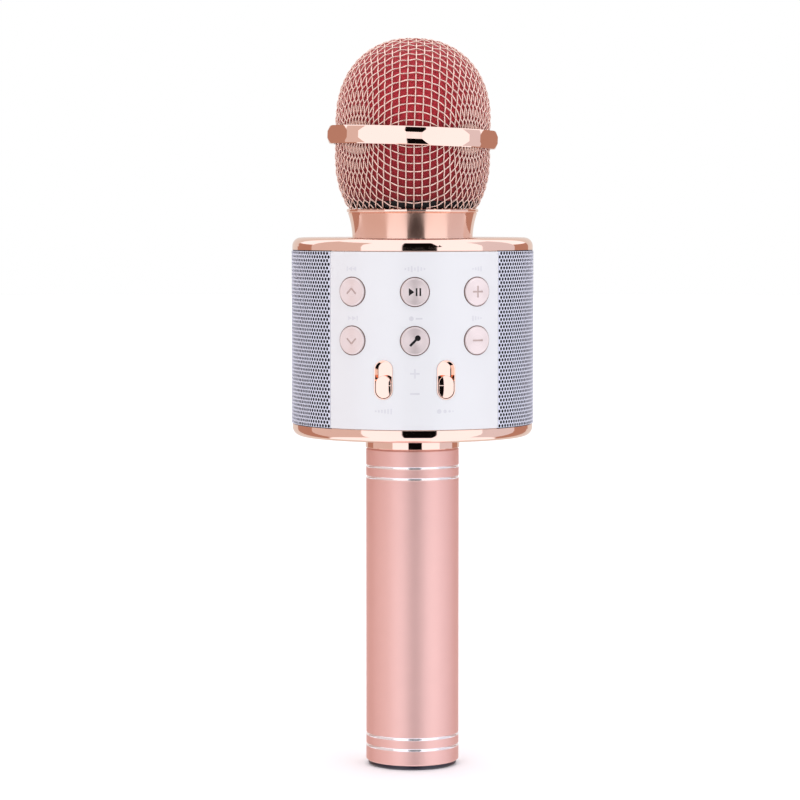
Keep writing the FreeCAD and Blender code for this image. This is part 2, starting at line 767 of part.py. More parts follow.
def speaker_magnet():
    """Ferrite ring between two plates, with the pole and the voice coil's gap."""
    return outwards(turned(
        (0, 7.6), (13.2, 7.6), (13.2, 9.2), (12.6, 9.2), (12.6, 14.6), (13.2, 14.6),
        (13.2, 16.0), (6.9, 16.0), (6.9, 9.4), (5.6, 9.4), (5.6, 16.2), (0, 16.2),
    ))


def speaker_cone():
    """Voice coil former, paper cone and dust cap, which move together."""
    return outwards(turned(
        (6.05, 11.5), (6.4, 11.5), (6.4, 20.0), (15.4, 28.2), (15.4, 28.9), (15.0, 28.9),
        (6.8, 21.2), (4.0, 22.6), (0, 23.0), (0, 22.5), (3.8, 22.1), (6.05, 20.8),
    ))


def speaker_surround():
    """Rubber half roll on the flange."""
    return outwards(turned(
        (15.6, 29.0), ((16.4, 29.9), (17.3, 29.0)), (19.0, 29.0), (19.0, 29.3),
        (17.5, 29.3), ((16.4, 30.2), (15.6, 29.3)),
    ))


# ---------------------------------------------------------------- handle
def handle_tube():
    """Aluminium tube with two pairs of bright-cut grooves."""
    inner = HANDLE_RADIUS - HANDLE_WALL
    edge = 0.4
    steps = [(inner, FOOT_HEIGHT), (HANDLE_RADIUS - edge, FOOT_HEIGHT),
             (HANDLE_RADIUS, FOOT_HEIGHT + edge)]
    for z in GROOVE_HEIGHTS:
        low, high = z - GROOVE_WIDTH / 2, z + GROOVE_WIDTH / 2
        steps += [(HANDLE_RADIUS, low), ((HANDLE_RADIUS - GROOVE_DEPTH, z), (HANDLE_RADIUS, high))]
    steps += [(HANDLE_RADIUS, HANDLE_TOP - edge), (HANDLE_RADIUS - edge, HANDLE_TOP),
              (inner, HANDLE_TOP)]
    return turned(*steps)


def end_cap():
    """Dark plug that closes the handle and is the foot it stands on."""
    return turned(
        (0, 0), (FOOT_RADIUS - 0.5, 0), (FOOT_RADIUS, 0.5), (FOOT_RADIUS, FOOT_HEIGHT),
        (14.5, FOOT_HEIGHT), (14.5, 8.0), (12.0, 8.0), (12.0, 3.5), (0, 3.5),
    )


def handle_collar():
    """Plated collar between drum and handle, with a spigot down inside the tube."""
    body = turned(
        (LEAD_BORE_RADIUS, 97.0), (14.5, 97.0), (14.5, HANDLE_TOP), (COLLAR_RADIUS - 0.4, HANDLE_TOP),
        (COLLAR_RADIUS, HANDLE_TOP + 0.4), (COLLAR_RADIUS, DRUM_BOTTOM - 1.2),
        ((COLLAR_RADIUS + 0.15, DRUM_BOTTOM - 0.5), (COLLAR_RADIUS + 0.7, DRUM_BOTTOM)),
        (LEAD_BORE_RADIUS, DRUM_BOTTOM),
    )
    holes = [
        cylinder(SCREW_HOLE_RADIUS, 108.9, DRUM_BOTTOM + 1, *on_circle(COLLAR_SCREW_CIRCLE, a))
        for a in SCREW_ANGLES
    ]
    return body.cut(together(holes))


def battery_cell():
    """18650 cell with its raised positive cap."""
    return turned(
        (0, CELL_BOTTOM), (CELL_RADIUS, CELL_BOTTOM), (CELL_RADIUS, BATTERY_TOP - 1.2),
        (CELL_RADIUS - 0.6, BATTERY_TOP - 0.6), (3.2, BATTERY_TOP - 0.6), (3.2, BATTERY_TOP),
        (0, BATTERY_TOP),
    )


def battery_cradle():
    """Open-fronted tray with end walls, standing on the end cap."""
    bottom, top = 8.0, BATTERY_TOP + 2.6
    body = cylinder(14.3, bottom, top)
    body = body.cut(cylinder(CELL_RADIUS + 0.2, CELL_BOTTOM - 3.5, BATTERY_TOP + 0.6))
    front = block((-20, 20), (-20, -3.5), (CELL_BOTTOM - 3.5, BATTERY_TOP + 0.6))
    lead_notch = cylinder(3.0, BATTERY_TOP, top + 1, 0, 3.5)
    return body.cut(front).cut(lead_notch)


def battery_contacts():
    """Coil spring below the cell and a contact plate above it."""
    spring_radius, wire, pitch, height = 3.6, 0.35, 1.05, 2.7
    floor = CELL_BOTTOM - 3.5
    path = Part.makeHelix(pitch, height, spring_radius)
    section = Part.Wire(Part.makeCircle(wire, Vector(spring_radius, 0, 0), Y))
    coil = Part.Wire(path).makePipeShell([section], True, True)
    spring = coil.translated(Vector(0, 0, floor + 0.4))
    plate = block((-4, 4), (-3.4, 4), (BATTERY_TOP, BATTERY_TOP + 0.5))
    return together([spring, plate])


# ---------------------------------------------------------------- screws
def frame_screws():
    """Three through the upper deck into the neck, three through the lower into the collar."""
    upper_seat, lower_seat = UPPER_SEAM, LOWER_SEAM
    screws = []
    for angle in SCREW_ANGLES:
        x, y = on_circle(NECK_SCREW_CIRCLE, angle)
        screws.append(screw((x, y, 182.8), (x, y, upper_seat)))
        x, y = on_circle(COLLAR_SCREW_CIRCLE, angle)
        screws.append(screw((x, y, 109.1), (x, y, lower_seat)))
    return together(screws)


def board_screws():
    back = FRONT_BOARD - BOARD
    screws = [screw((x, -FRONT_BOARD - 4, z), (x, -back, z)) for x, z in FRONT_POSTS]
    for angle in (BUTTON_ANGLES["left"], BUTTON_ANGLES["right"]):
        for z in KEY_POST_HEIGHTS:
            screws.append(at_angle(screw((0, -FRONT_BOARD - 4, z), (0, -back, z)), angle))
    for x, z in SOCKET_POSTS:
        screws.append(screw((x, SOCKET_BOARD + BOARD + 4, z), (x, SOCKET_BOARD, z)))
    return together(screws)


def speaker_screws():
    screws = [
        screw((side * 25, y, z), (side * (BAFFLE_OUTER + 1), y, z))
        for side in (-1, 1)
        for y, z in speaker_corners()
    ]
    return together(screws)


# ---------------------------------------------------------------- wiring
def lead(points, radius):
    """Round lead along straight runs joined by the largest tangent arcs that fit."""
    points = [Vector(*p) for p in points]
    edges, here = [], points[0]
    for before, corner, after in zip(points, points[1:], points[2:]):
        back, ahead = before - corner, after - corner
        reach = 0.45 * min(back.Length, ahead.Length)
        back.normalize()
        ahead.normalize()
        start, end = corner + back * reach, corner + ahead * reach
        half = math.acos(max(-1.0, min(1.0, back * ahead))) / 2
        bisector = (back + ahead).normalize()
        centre = corner + bisector * (reach / math.cos(half))
        middle = centre - bisector * (reach * math.tan(half))
        edges += [Part.makeLine(here, start), Part.Arc(start, middle, end).toShape()]
        here = end
    edges.append(Part.makeLine(here, points[-1]))
    path = Part.Wire(edges)
    section = Part.Wire(Part.makeCircle(radius, points[0], points[1] - points[0]))
    return path.makePipeShell([section], True, False)


LEAD_RADIUS = 0.6

# Each pair starts square on one piece and ends square on another.
BATTERY_ROUTES = [
    [(x, 3.0, BATTERY_TOP + 0.5), (x, 3.0, 92.0), (x * 1.6, 5.0, 106.0), (x * 1.8, 7.0, 117.0),
     (x * 1.8, 11.5, 127.0), (x * 1.8, 17.5, 131.0), (x * 1.8, SOCKET_BOARD, 131.0)]
    for x in (-1.2, 1.2)
]
MIC_ROUTES = [
    [(x, 0.0, 191.6), (x, 0.0, 185.0), (x * 1.4, -4.5, 176.0), (x * 1.6, -11.5, 167.0),
     (x * 1.8, -18.0, 158.0), (x * 2.0, -23.5, 154.0), (x * 2.0, -FRONT_BOARD + BOARD, 154.0)]
    for x in (-1.0, 1.0)
]
SPEAKER_ROUTES = [
    [(19.6, -16.2, DRUM_MIDDLE + z), (15.0, -16.2, DRUM_MIDDLE + z), (11.5, -19.5, 141.0 + z),
     (10.5, -24.5, 137.0 + z), (10.5, -FRONT_BOARD + BOARD, 137.0 + z)]
    for z in (-1.2, 1.2)
]


def battery_leads():
    return together(lead(route, LEAD_RADIUS) for route in BATTERY_ROUTES)


def mic_leads():
    return together(lead(route, LEAD_RADIUS) for route in MIC_ROUTES)


def speaker_leads():
    right = [lead(route, LEAD_RADIUS) for route in SPEAKER_ROUTES]
    return together(right + [mirrored(shape) for shape in right])


# ---------------------------------------------------------------- the assembly
def both_sides(name, right_shape):
    """Left and right nodes of a piece built on the +X side."""
    return {f"right_{name}": right_shape, f"left_{name}": mirrored(right_shape)}


def assembly():
    nodes = {
        make.__name__: make()
        for make in (
            upper_grille_dome, lower_grille_basket, grille_ring, grille_base_ring, foam_liner,
            capsule_bracket, capsule_shock_mount, mic_capsule, neck_collar, top_cover,
            bottom_cover, chassis, front_panel, rear_panel, main_pcb, pcb_components, port_pcb,
            usb_socket, charging_socket, card_slot, aux_jack, power_switch_body,
            power_switch_knob, status_led, handle_tube, end_cap, handle_collar, battery_cell,
            battery_cradle, battery_contacts, frame_screws, board_screws, speaker_screws,
            battery_leads, mic_leads, speaker_leads,
        )
    }
    nodes.update(both_sides("speaker_mesh", right_speaker_mesh()))
    nodes.update(both_sides("speaker_frame", speaker_frame()))
    nodes.update(both_sides("speaker_magnet", speaker_magnet()))
    nodes.update(both_sides("speaker_cone", speaker_cone()))
    nodes.update(both_sides("speaker_surround", speaker_surround()))
    nodes.update(both_sides("slider_trim", at_angle(slider_trim(), SLIDER_ANGLE)))
    nodes.update(both_sides("slider_knob", at_angle(slider_knob(), SLIDER_ANGLE)))
    pot = at_angle(slide_pot(), SLIDER_ANGLE)
    nodes["slide_pots"] = together([pot, mirrored(pot)])
    key_board = at_angle(side_key_board(), BUTTON_ANGLES["right"])
    nodes["side_key_boards"] = together([key_board, mirrored(key_board)])
    nodes["tact_switches"] = together(
        at_angle(tact_switch().translated(Vector(0, 0, z)), angle)
        for _, angle, z in button_places()
    )
    for name, angle, z in button_places():
        nodes[f"{name}_button"] = button(name, angle, z)
    return nodes


def main():
    os.makedirs("parts", exist_ok=True)
    for name, shape in sorted(assembly().items()):
        shape.exportStep(f"parts/{name}.step")
        bounds = shape.BoundBox
        size = " x ".join(f"{side:.1f}" for side in (bounds.XLength, bounds.YLength, bounds.ZLength))
        print(f"{name}: {len(shape.Solids)} solid(s), {size} mm, valid {shape.isValid()}")


main()
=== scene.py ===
"""Looks of the karaoke microphone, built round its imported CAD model.

Metres, +Z up, and the buttons face -Y.
"""

import json
import math

import bmesh
import bpy
import numpy as np
from mathutils import Matrix, Vector


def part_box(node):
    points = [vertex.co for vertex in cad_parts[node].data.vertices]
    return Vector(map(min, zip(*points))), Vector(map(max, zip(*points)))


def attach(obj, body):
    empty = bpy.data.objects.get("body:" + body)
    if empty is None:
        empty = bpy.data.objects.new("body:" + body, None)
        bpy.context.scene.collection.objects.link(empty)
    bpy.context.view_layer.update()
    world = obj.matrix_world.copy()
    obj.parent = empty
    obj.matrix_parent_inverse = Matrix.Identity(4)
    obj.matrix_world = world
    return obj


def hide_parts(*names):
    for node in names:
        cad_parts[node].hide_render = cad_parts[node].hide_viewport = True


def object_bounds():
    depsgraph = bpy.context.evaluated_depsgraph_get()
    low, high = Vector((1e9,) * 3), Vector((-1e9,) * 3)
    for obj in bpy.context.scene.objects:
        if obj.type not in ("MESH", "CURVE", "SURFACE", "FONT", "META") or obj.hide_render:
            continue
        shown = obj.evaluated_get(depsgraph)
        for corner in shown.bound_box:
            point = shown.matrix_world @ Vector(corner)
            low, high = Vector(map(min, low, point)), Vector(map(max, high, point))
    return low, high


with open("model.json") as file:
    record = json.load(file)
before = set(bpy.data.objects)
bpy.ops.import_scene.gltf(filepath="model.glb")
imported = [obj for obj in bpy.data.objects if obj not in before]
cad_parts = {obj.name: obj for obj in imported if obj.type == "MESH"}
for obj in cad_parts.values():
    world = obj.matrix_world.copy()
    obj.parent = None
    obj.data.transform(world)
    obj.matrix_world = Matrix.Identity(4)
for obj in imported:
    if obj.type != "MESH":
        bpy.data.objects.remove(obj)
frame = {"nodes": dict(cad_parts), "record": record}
cad_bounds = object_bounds()

# ---------------------------------------------------------------- sizes, from the frame
MM = 0.001
TOP = cad_bounds[1][2]
RING_LOW, RING_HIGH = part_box("grille_ring")
RING_Z = (RING_LOW[2] + RING_HIGH[2]) / 2
RING_TILT = math.radians(2.0)
PANEL_LOW, PANEL_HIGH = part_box("front_panel")
DRUM_RADIUS = -PANEL_LOW[1]
PANEL_HALF_ANGLE = math.radians(42.4)
SLIDER_ANGLE = math.radians(14.5)
BUTTON_ANGLES = {"left": math.radians(-30), "centre": 0.0, "right": math.radians(30)}
GROOVE_HEIGHTS = [z * MM for z in (6.9, 10.6, 98.7, 102.4)]
GROOVE_WIDTH = 0.9 * MM

# woven wire of the grille
WIRE_RADIUS = 0.24 * MM
WEAVE_PITCH = 2.7 * MM
GRILLE_RADIUS = 26.4 * MM
DOME_EQUATOR = 219.0 * MM
DOME_HEIGHT = TOP - DOME_EQUATOR
BASKET_EQUATOR = 207.0 * MM
BASKET_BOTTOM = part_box("lower_grille_basket")[0][2]
DOME_POWER = 2.2

# foam cup in the grille, and the black band under it
FOAM_GAP = 4 * WIRE_RADIUS + 0.1 * MM
FOAM_WALL = 6 * MM
FOAM_BORE = 17.8 * MM
FOAM_RISE = 2.6 * MM
FOAM_UNEVENNESS = 0.03 * MM
SKIRT_WALL = 1.5 * MM
SKIRT_START, SKIRT_HEIGHT = 0.2 * MM, 2.3 * MM

# ---------------------------------------------------------------- perforated steel of the speaker
# meshes, and the black shade screens behind it
HOLE_RADIUS = 0.56 * MM
HOLE_COLUMNS = 48
HOLE_ROWS = 48
HOLE_CORNERS = 12
SHEET_THICKNESS = 0.12 * MM
SHEET_GAP = 0.15 * MM
SCREEN_GAP = 0.08 * MM
SCREEN_INSET = 1 * MM
SCREEN_THICKNESS = 0.08 * MM
CORNERS_PER_METRE = 1e7

# section of the ring round a button, as (radius, height above the drum)
BEZEL_SECTION = [(r * MM, proud * MM) for r, proud in (
    (4.64, -0.5), (4.64, 0.03), (4.70, 0.07), (4.86, 0.07), (4.92, 0.005), (4.75, -0.5))]

# camera, and the floor and backdrop round it
CAMERA_DISTANCE = 1.020
CAMERA_HEIGHT = 0.1875
CAMERA_TURN = math.radians(1.1)
CAMERA_AIM = (-0.00425, 0, 0.1246)
FLOOR_RADIUS = 6.0
BACKDROP_RADIUS = 8.0


# ---------------------------------------------------------------- making objects
def add_object(name, data, body, replaces=()):
    """Links a piece, gives it its body, and hides the CAD nodes that it replaces, if any."""
    piece = bpy.data.objects.new(name, data)
    bpy.context.scene.collection.objects.link(piece)
    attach(piece, body)
    if replaces:
        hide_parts(*replaces)
    return piece


def mesh_of(name, vertices, faces, smooth=True):
    mesh = bpy.data.meshes.new(name)
    mesh.from_pydata([tuple(v) for v in vertices], [], [tuple(f) for f in faces])
    mesh.update()
    if smooth:
        mesh.polygons.foreach_set("use_smooth", [True] * len(mesh.polygons))
    return mesh


def tilt_matrix(angle=RING_TILT):
    """The ring sits a little out of square, and the dome leans with it."""
    centre = Vector((0, 0, RING_Z))
    turn = Matrix.Rotation(angle, 4, "Y")
    return Matrix.Translation(centre) @ turn @ Matrix.Translation(-centre)


# ---------------------------------------------------------------- woven wire
def dome_level(point, radius, height):
    """How far outside the dome a point is, and the way out.

    Below its equator the dome is a tube.
    """
    r = math.hypot(point[0], point[1])
    h = max(point[2], 0.0)
    level = (r / radius) ** DOME_POWER + (h / height) ** DOME_POWER - 1
    across = DOME_POWER * (r / radius) ** (DOME_POWER - 1) / radius
    up = DOME_POWER * (h / height) ** (DOME_POWER - 1) / height
    out = (point[0] / r, point[1] / r) if r > 1e-9 else (0.0, 0.0)
    return level, np.array([across * out[0], across * out[1], up])


def down_the_meridian(radius, height, count):
    """Points one weave pitch apart, from the top down the XZ outline."""
    steps = 4000
    angles = np.linspace(math.pi / 2, 0, steps)
    outline = [
        (radius * math.cos(a) ** (2 / DOME_POWER), height * math.sin(a) ** (2 / DOME_POWER))
        for a in angles[1:]
    ]
    outline += [(radius, -WEAVE_PITCH * count * i / steps) for i in range(1, steps)]
    points = [(0.0, height)]
    for r, h in outline:
        if math.hypot(r - points[-1][0], h - points[-1][1]) >= WEAVE_PITCH:
            points.append((r, h))
        if len(points) == count:
            break
    return [np.array([r, 0.0, h]) for r, h in points]


def next_crossing(a, b, before, radius, height):
    """The point of the dome one pitch from both a and b, on the far side from before."""
    point = a + b - before
    for _ in range(12):
        level, out = dome_level(point, radius, height)
        misses = np.array([
            (point - a) @ (point - a) - WEAVE_PITCH**2,
            (point - b) @ (point - b) - WEAVE_PITCH**2,
            level * WEAVE_PITCH**2,
        ])
        slopes = np.array([2 * (point - a), 2 * (point - b), out * WEAVE_PITCH**2])
        step = np.linalg.solve(slopes, misses)
        point = point - step
        if np.abs(step).max() < 1e-9:
            break
    return point


def drape(radius, height, lowest):
    """Where the wires of a square weave cross when it is pressed over the dome."""
    reach = 40
    crossings = {}
    for i, point in enumerate(down_the_meridian(radius, height, reach)):
        if point[2] < lowest - 2 * WEAVE_PITCH:
            break
        crossings[i, 0] = point
        crossings[0, i] = np.array([0.0, point[0], point[2]])
    for total in range(2, 2 * reach):
        for i in range(1, total):
            j = total - i
            near = [crossings.get(key) for key in ((i - 1, j), (i, j - 1), (i - 1, j - 1))]
            if any(point is None for point in near):
                continue
            if max(near[0][2], near[1][2]) < lowest:
                continue
            crossings[i, j] = next_crossing(*near, radius, height)
    return {
        (si * i, sj * j): point * np.array([si, sj, 1])
        for (i, j), point in crossings.items()
        for si in (1, -1)
        for sj in (1, -1)
    }


def kept_runs(points, low, high):
    """The stretches of a wire between two heights, cut exactly at them."""
    run = []
    for here, there in zip(points, points[1:]):
        cuts = sorted(
            (limit - here[2]) / (there[2] - here[2])
            for limit in (low, high)
            if (here[2] - limit) * (there[2] - limit) < 0
        )
        stops = [0.0, *cuts, 1.0]
        for start, end in zip(stops, stops[1:]):
            middle = here + (there - here) * (start + end) / 2
            if low <= middle[2] <= high:
                if not run:
                    run = [here + (there - here) * start]
                run.append(here + (there - here) * end)
            elif run:
                yield run
                run = []
    if run:
        yield run


def woven_wire(name, crossings, radius, height, low, high, place):
    """Mesh of every wire of the net, over and under, between two heights."""
    curve = bpy.data.curves.new(name, "CURVE")
    curve.dimensions = "3D"
    curve.bevel_depth = WIRE_RADIUS
    curve.bevel_resolution = 1
    curve.resolution_u = 4
    reach = max(i for i, _ in crossings)
    for family in (0, 1):
        for fixed in range(-reach, reach + 1):
            wire = []
            for along in range(-reach, reach + 1):
                key = (along, fixed) if family == 0 else (fixed, along)
                if key not in crossings:
                    continue
                out = dome_level(crossings[key], radius, height)[1]
                over = (-1) ** (along + fixed + family)
                wire.append(crossings[key] + out / np.linalg.norm(out) * over * WIRE_RADIUS)
            for run in kept_runs(wire, low, high):
                if len(run) < 2:
                    continue
                spline = curve.splines.new("BEZIER")
                spline.bezier_points.add(len(run) - 1)
                for knot, point in zip(spline.bezier_points, run):
                    knot.co = place @ Vector(point)
                    knot.handle_left_type = knot.handle_right_type = "AUTO"
    return mesh_of_curve(curve)


def mesh_of_curve(curve):
    """Mesh of a bevelled curve, whose box is that of the wires themselves."""
    holder = bpy.data.objects.new(curve.name, curve)
    bpy.context.scene.collection.objects.link(holder)
    shape = holder.evaluated_get(bpy.context.evaluated_depsgraph_get())
    mesh = bpy.data.meshes.new_from_object(shape)
    bpy.data.objects.remove(holder)
    return mesh


def grille_wires():
    radius = GRILLE_RADIUS - 2 * WIRE_RADIUS
    height = DOME_HEIGHT - 2 * WIRE_RADIUS
    skirt = BASKET_EQUATOR - RING_Z
    crossings = drape(radius, height, skirt)
    over_dome = tilt_matrix() @ Matrix.Translation((0, 0, DOME_EQUATOR))
    dome = woven_wire(
        "dome_weave", crossings, radius, height, RING_Z - DOME_EQUATOR, height, over_dome
    )
    upside_down = Matrix.Translation((0, 0, BASKET_EQUATOR)) @ Matrix.Diagonal((1, 1, -1, 1))
    lip = BASKET_EQUATOR - BASKET_BOTTOM - 0.1 * MM
    basket = woven_wire("basket_weave", crossings, radius, height, skirt, lip, upside_down)
    return [
        add_object("woven_dome", dome, "grille", ["upper_grille_dome"]),
        add_object("woven_basket", basket, "grille", ["lower_grille_basket"]),
    ]


# ---------------------------------------------------------------- foam
def foam_radius(z):
    """Half width of the space inside the grille at a height."""
    radius = GRILLE_RADIUS - FOAM_GAP
    if z > DOME_EQUATOR:
        rise = min((z - DOME_EQUATOR) / (DOME_HEIGHT - FOAM_GAP), 1.0)
    else:
        rise = max((BASKET_EQUATOR - z) / (DOME_HEIGHT - FOAM_GAP), 0.0)
    return radius * (1 - rise**DOME_POWER) ** (1 / DOME_POWER)


def foam():
    """Moulded foam cup that fills the grille. It leans with the dome above the ring."""
    lean_band = 6 * MM
    bottom = BASKET_BOTTOM + FOAM_RISE
    top = TOP - FOAM_GAP
    levels, around = 64, 120
    crowding = 1.6  # draws the levels together at the top, where the outline turns fastest
    outside = [(foam_radius(z), z) for z in
               (top - (top - bottom) * (i / levels) ** crowding for i in range(1, levels + 1))]
    inside = [(max(r - FOAM_WALL, FOAM_BORE if z < RING_Z else 0.0), z) for r, z in outside
              if z < top - FOAM_WALL]
    profile = [(0.0, top), *outside, *reversed(inside), (0.0, top - FOAM_WALL)]
    vertices, faces, rings = [], [], []
    noise = np.random.default_rng(4)
    for r, z in profile:
        lean = tilt_matrix(RING_TILT * min(max((z - RING_Z) / lean_band + 0.5, 0.0), 1.0))
        count = around if r > 0 else 1
        rings.append(range(len(vertices), len(vertices) + count))
        for k in range(count):
            angle = 2 * math.pi * k / around
            rough = r + noise.normal(0, FOAM_UNEVENNESS) if r > 0 else 0.0
            vertices.append(lean @ Vector((rough * math.cos(angle), rough * math.sin(angle), z)))
    for upper, lower in zip(rings, rings[1:]):
        for k in range(around):
            a, b = upper[k % len(upper)], upper[(k + 1) % len(upper)]
            c, d = lower[(k + 1) % len(lower)], lower[k % len(lower)]
            faces.append(list(dict.fromkeys((a, d, c, b))))
    piece = add_object("foam_windscreen", mesh_of("foam", vertices, faces), "grille",
                       ["foam_liner"])
    return piece


def foam_skirt():
    """Black band under the foam cup. It closes the foot of the basket."""
    levels, around = 6, 96
    heights = [BASKET_BOTTOM + SKIRT_START + SKIRT_HEIGHT * i / levels
               for i in range(levels + 1)]
    outside = [(foam_radius(z), z) for z in heights]
    profile = [*outside, *((r - SKIRT_WALL, z) for r, z in reversed(outside))]
    vertices, faces = [], []
    for k in range(around):
        angle = 2 * math.pi * k / around
        vertices += [(r * math.cos(angle), r * math.sin(angle), z) for r, z in profile]
        here, there = k * len(profile), (k + 1) % around * len(profile)
        for i in range(len(profile)):
            n = (i + 1) % len(profile)
            faces.append((here + i, there + i, there + n, here + n))
    return add_object("foam_skirt", mesh_of("skirt", vertices, faces), "grille")


# ---------------------------------------------------------------- perforated speaker meshes
def perforated_sheet(side):
    """Curved steel sheet with staggered round holes. Each hole has a brick of its own."""
    start = PANEL_HALF_ANGLE + SHEET_GAP / DRUM_RADIUS
    arc = math.pi - 2 * start
    low, high = PANEL_LOW[2], PANEL_HIGH[2]
    step, rise = arc / HOLE_COLUMNS, (high - low) / HOLE_ROWS
    half = (step * DRUM_RADIUS / 2, rise / 2)
    edge = [(1, 0), (1, 1), (0.5, 1), (0, 1), (-0.5, 1), (-1, 1),
            (-1, 0), (-1, -1), (-0.5, -1), (0, -1), (0.5, -1), (1, -1)]
    brick = [(u * half[0], v * half[1]) for u, v in edge]
    turns = [2 * math.pi * k / HOLE_CORNERS for k in range(HOLE_CORNERS)]
    hole = [(HOLE_RADIUS * math.cos(turn), HOLE_RADIUS * math.sin(turn)) for turn in turns]
    corners, faces = {}, []

    def corner(u, v):
        """Number of the corner there. Bricks share the corners that fall together."""
        key = (round(u * CORNERS_PER_METRE), round(v * CORNERS_PER_METRE))
        return corners.setdefault(key, len(corners))

    for row in range(HOLE_ROWS):
        v0 = low + (row + 0.5) * rise
        shift = 0.5 * (row % 2)
        for column in range(HOLE_COLUMNS - row % 2):
            u0 = (column + 0.5 + shift) * step * DRUM_RADIUS
            outer = [corner(u0 + u, v0 + v) for u, v in brick]
            inner = [corner(u0 + u, v0 + v) for u, v in hole]
            for k in range(HOLE_CORNERS):
                n = (k + 1) % HOLE_CORNERS
                faces.append((inner[k], outer[k], outer[n], inner[n]))
        if row % 2:
            for u0 in (0, arc * DRUM_RADIUS - half[0]):
                us = [u0, u0 + half[0] / 2, u0 + half[0]]
                ring = [corner(u, v0 - half[1]) for u in us]
                ring += [corner(us[2], v0), *(corner(u, v0 + half[1]) for u in us[::-1])]
                ring.append(corner(us[0], v0))
                faces.append(ring)
    vertices = []
    for u, v in corners:
        angle = start + u / CORNERS_PER_METRE / DRUM_RADIUS
        x, y = DRUM_RADIUS * math.sin(angle), -DRUM_RADIUS * math.cos(angle)
        vertices.append((side * x, y, v / CORNERS_PER_METRE))
    if side < 0:
        faces = [face[::-1] for face in faces]
    name = "right" if side > 0 else "left"
    piece = add_object(f"{name}_perforated_sheet", mesh_of(name, vertices, faces, smooth=False),
                       "microphone", [f"{name}_speaker_mesh"])
    thick = piece.modifiers.new("thickness", "SOLIDIFY")
    thick.thickness = SHEET_THICKNESS
    thick.offset = -1
    return piece


def shade_screen(side):
    """Black screen close behind the perforated sheet: painted shade, so that its holes look dark.
    """
    start = PANEL_HALF_ANGLE + SCREEN_INSET / DRUM_RADIUS
    radius, columns = DRUM_RADIUS - SHEET_THICKNESS - SCREEN_GAP, 40
    margin = 0.1 * MM
    low, high = PANEL_LOW[2] + margin, PANEL_HIGH[2] - margin
    vertices, faces = [], []
    for column in range(columns + 1):
        angle = start + (math.pi - 2 * start) * column / columns
        x, y = side * radius * math.sin(angle), -radius * math.cos(angle)
        vertices += [(x, y, low), (x, y, high)]
        if column < columns:
            a = 2 * column
            faces.append((a, a + 2, a + 3, a + 1)[::side])
    name = "right" if side > 0 else "left"
    piece = add_object(f"{name}_shade_screen", mesh_of(f"{name}_screen", vertices, faces),
                       "microphone")
    thick = piece.modifiers.new("thickness", "SOLIDIFY")
    thick.thickness = SCREEN_THICKNESS
    thick.offset = -1
    return piece


# ---------------------------------------------------------------- printed marks on the front panel
def bar(left, right, low, high):
    """Upright bar or dash, cut into strips that follow the drum."""
    strips = max(1, math.ceil((right - left) / 0.5))
    step = (right - left) / strips
    return [[(left + i * step, low), (left + (i + 1) * step, low),
             (left + (i + 1) * step, high), (left + i * step, high)] for i in range(strips)]


def arrow(base, tip):
    return [[(base, -0.6), (tip, 0), (base, 0.6)][::1 if tip > base else -1]]


def dot(centre, radius, corners=12):
    turn = 2 * math.pi / corners
    return [[(centre + radius * math.cos(k * turn), radius * math.sin(k * turn))
             for k in range(corners)]]


def bars(heights, pitch=0.8, width=0.4):
    """Row of upright bars, as on a level meter."""
    start = -pitch * (len(heights) - 1) / 2
    return [face for i, height in enumerate(heights)
            for face in bar(start + i * pitch - width / 2, start + i * pitch + width / 2,
                            -height / 2, height / 2)]


# Marks as (column, height in mm, faces). The faces' corners are in units of MARK_SCALE.
MARK_SCALE = 1.3 * MM
INK_LIFT = 0.01 * MM
INK_THICKNESS = 0.02 * MM
MARKS = [
    ("left", 169.9, [*arrow(0, -1.1), *arrow(1.2, 0.1), *bar(-1.6, -1.3, -0.6, 0.6)]),
    ("centre", 169.9, bars([0.5, 1.0, 1.5, 0.8, 1.4, 0.9, 0.5])),
    ("right", 169.9, bars([0.4, 0.7, 1.0, 1.3])),
    ("left", 153.7, [*arrow(0, 1.1), *arrow(-1.2, -0.1), *bar(1.3, 1.6, -0.6, 0.6)]),
    ("centre", 153.7, [*dot(-0.9, 0.6), *bar(0.2, 1.9, -0.2, 0.2)]),
    ("right", 153.7, bars([1.3, 1.0, 0.7, 0.4])),
    ("centre", 135.7, [*bar(-1.2, 1.2, -0.2, 0.2), *bar(-0.2, 0.2, 0.2, 1.2),
                       *bar(-0.2, 0.2, -1.2, -0.2)]),
    ("centre", 129.1, bar(-1.2, 1.2, -0.2, 0.2)),
    ("left slider", 123.3, bars([0.4, 0.6, 0.8, 1.0, 1.2, 1.4])),
    ("right slider", 123.3, [*dot(-1.8, 0.6), *dot(-0.3, 0.45), *dot(0.9, 0.32), *dot(1.8, 0.2)]),
]


def printed_marks():
    """Pictograms in pale ink, a hair proud of the panel."""
    angles = {**BUTTON_ANGLES, "left slider": -SLIDER_ANGLE, "right slider": SLIDER_ANGLE}
    vertices, faces = [], []
    radius = DRUM_RADIUS + INK_LIFT
    for column, height, shapes in MARKS:
        for shape in shapes:
            faces.append(range(len(vertices), len(vertices) + len(shape)))
            for across, up in shape:
                angle = angles[column] + across * MARK_SCALE / DRUM_RADIUS
                vertices.append((radius * math.sin(angle), -radius * math.cos(angle),
                                 height * MM + up * MARK_SCALE))
    piece = add_object("panel_marks", mesh_of("marks", vertices, faces, smooth=False),
                       "microphone")
    ink = piece.modifiers.new("ink", "SOLIDIFY")
    ink.thickness = INK_THICKNESS
    ink.offset = 1
    return piece


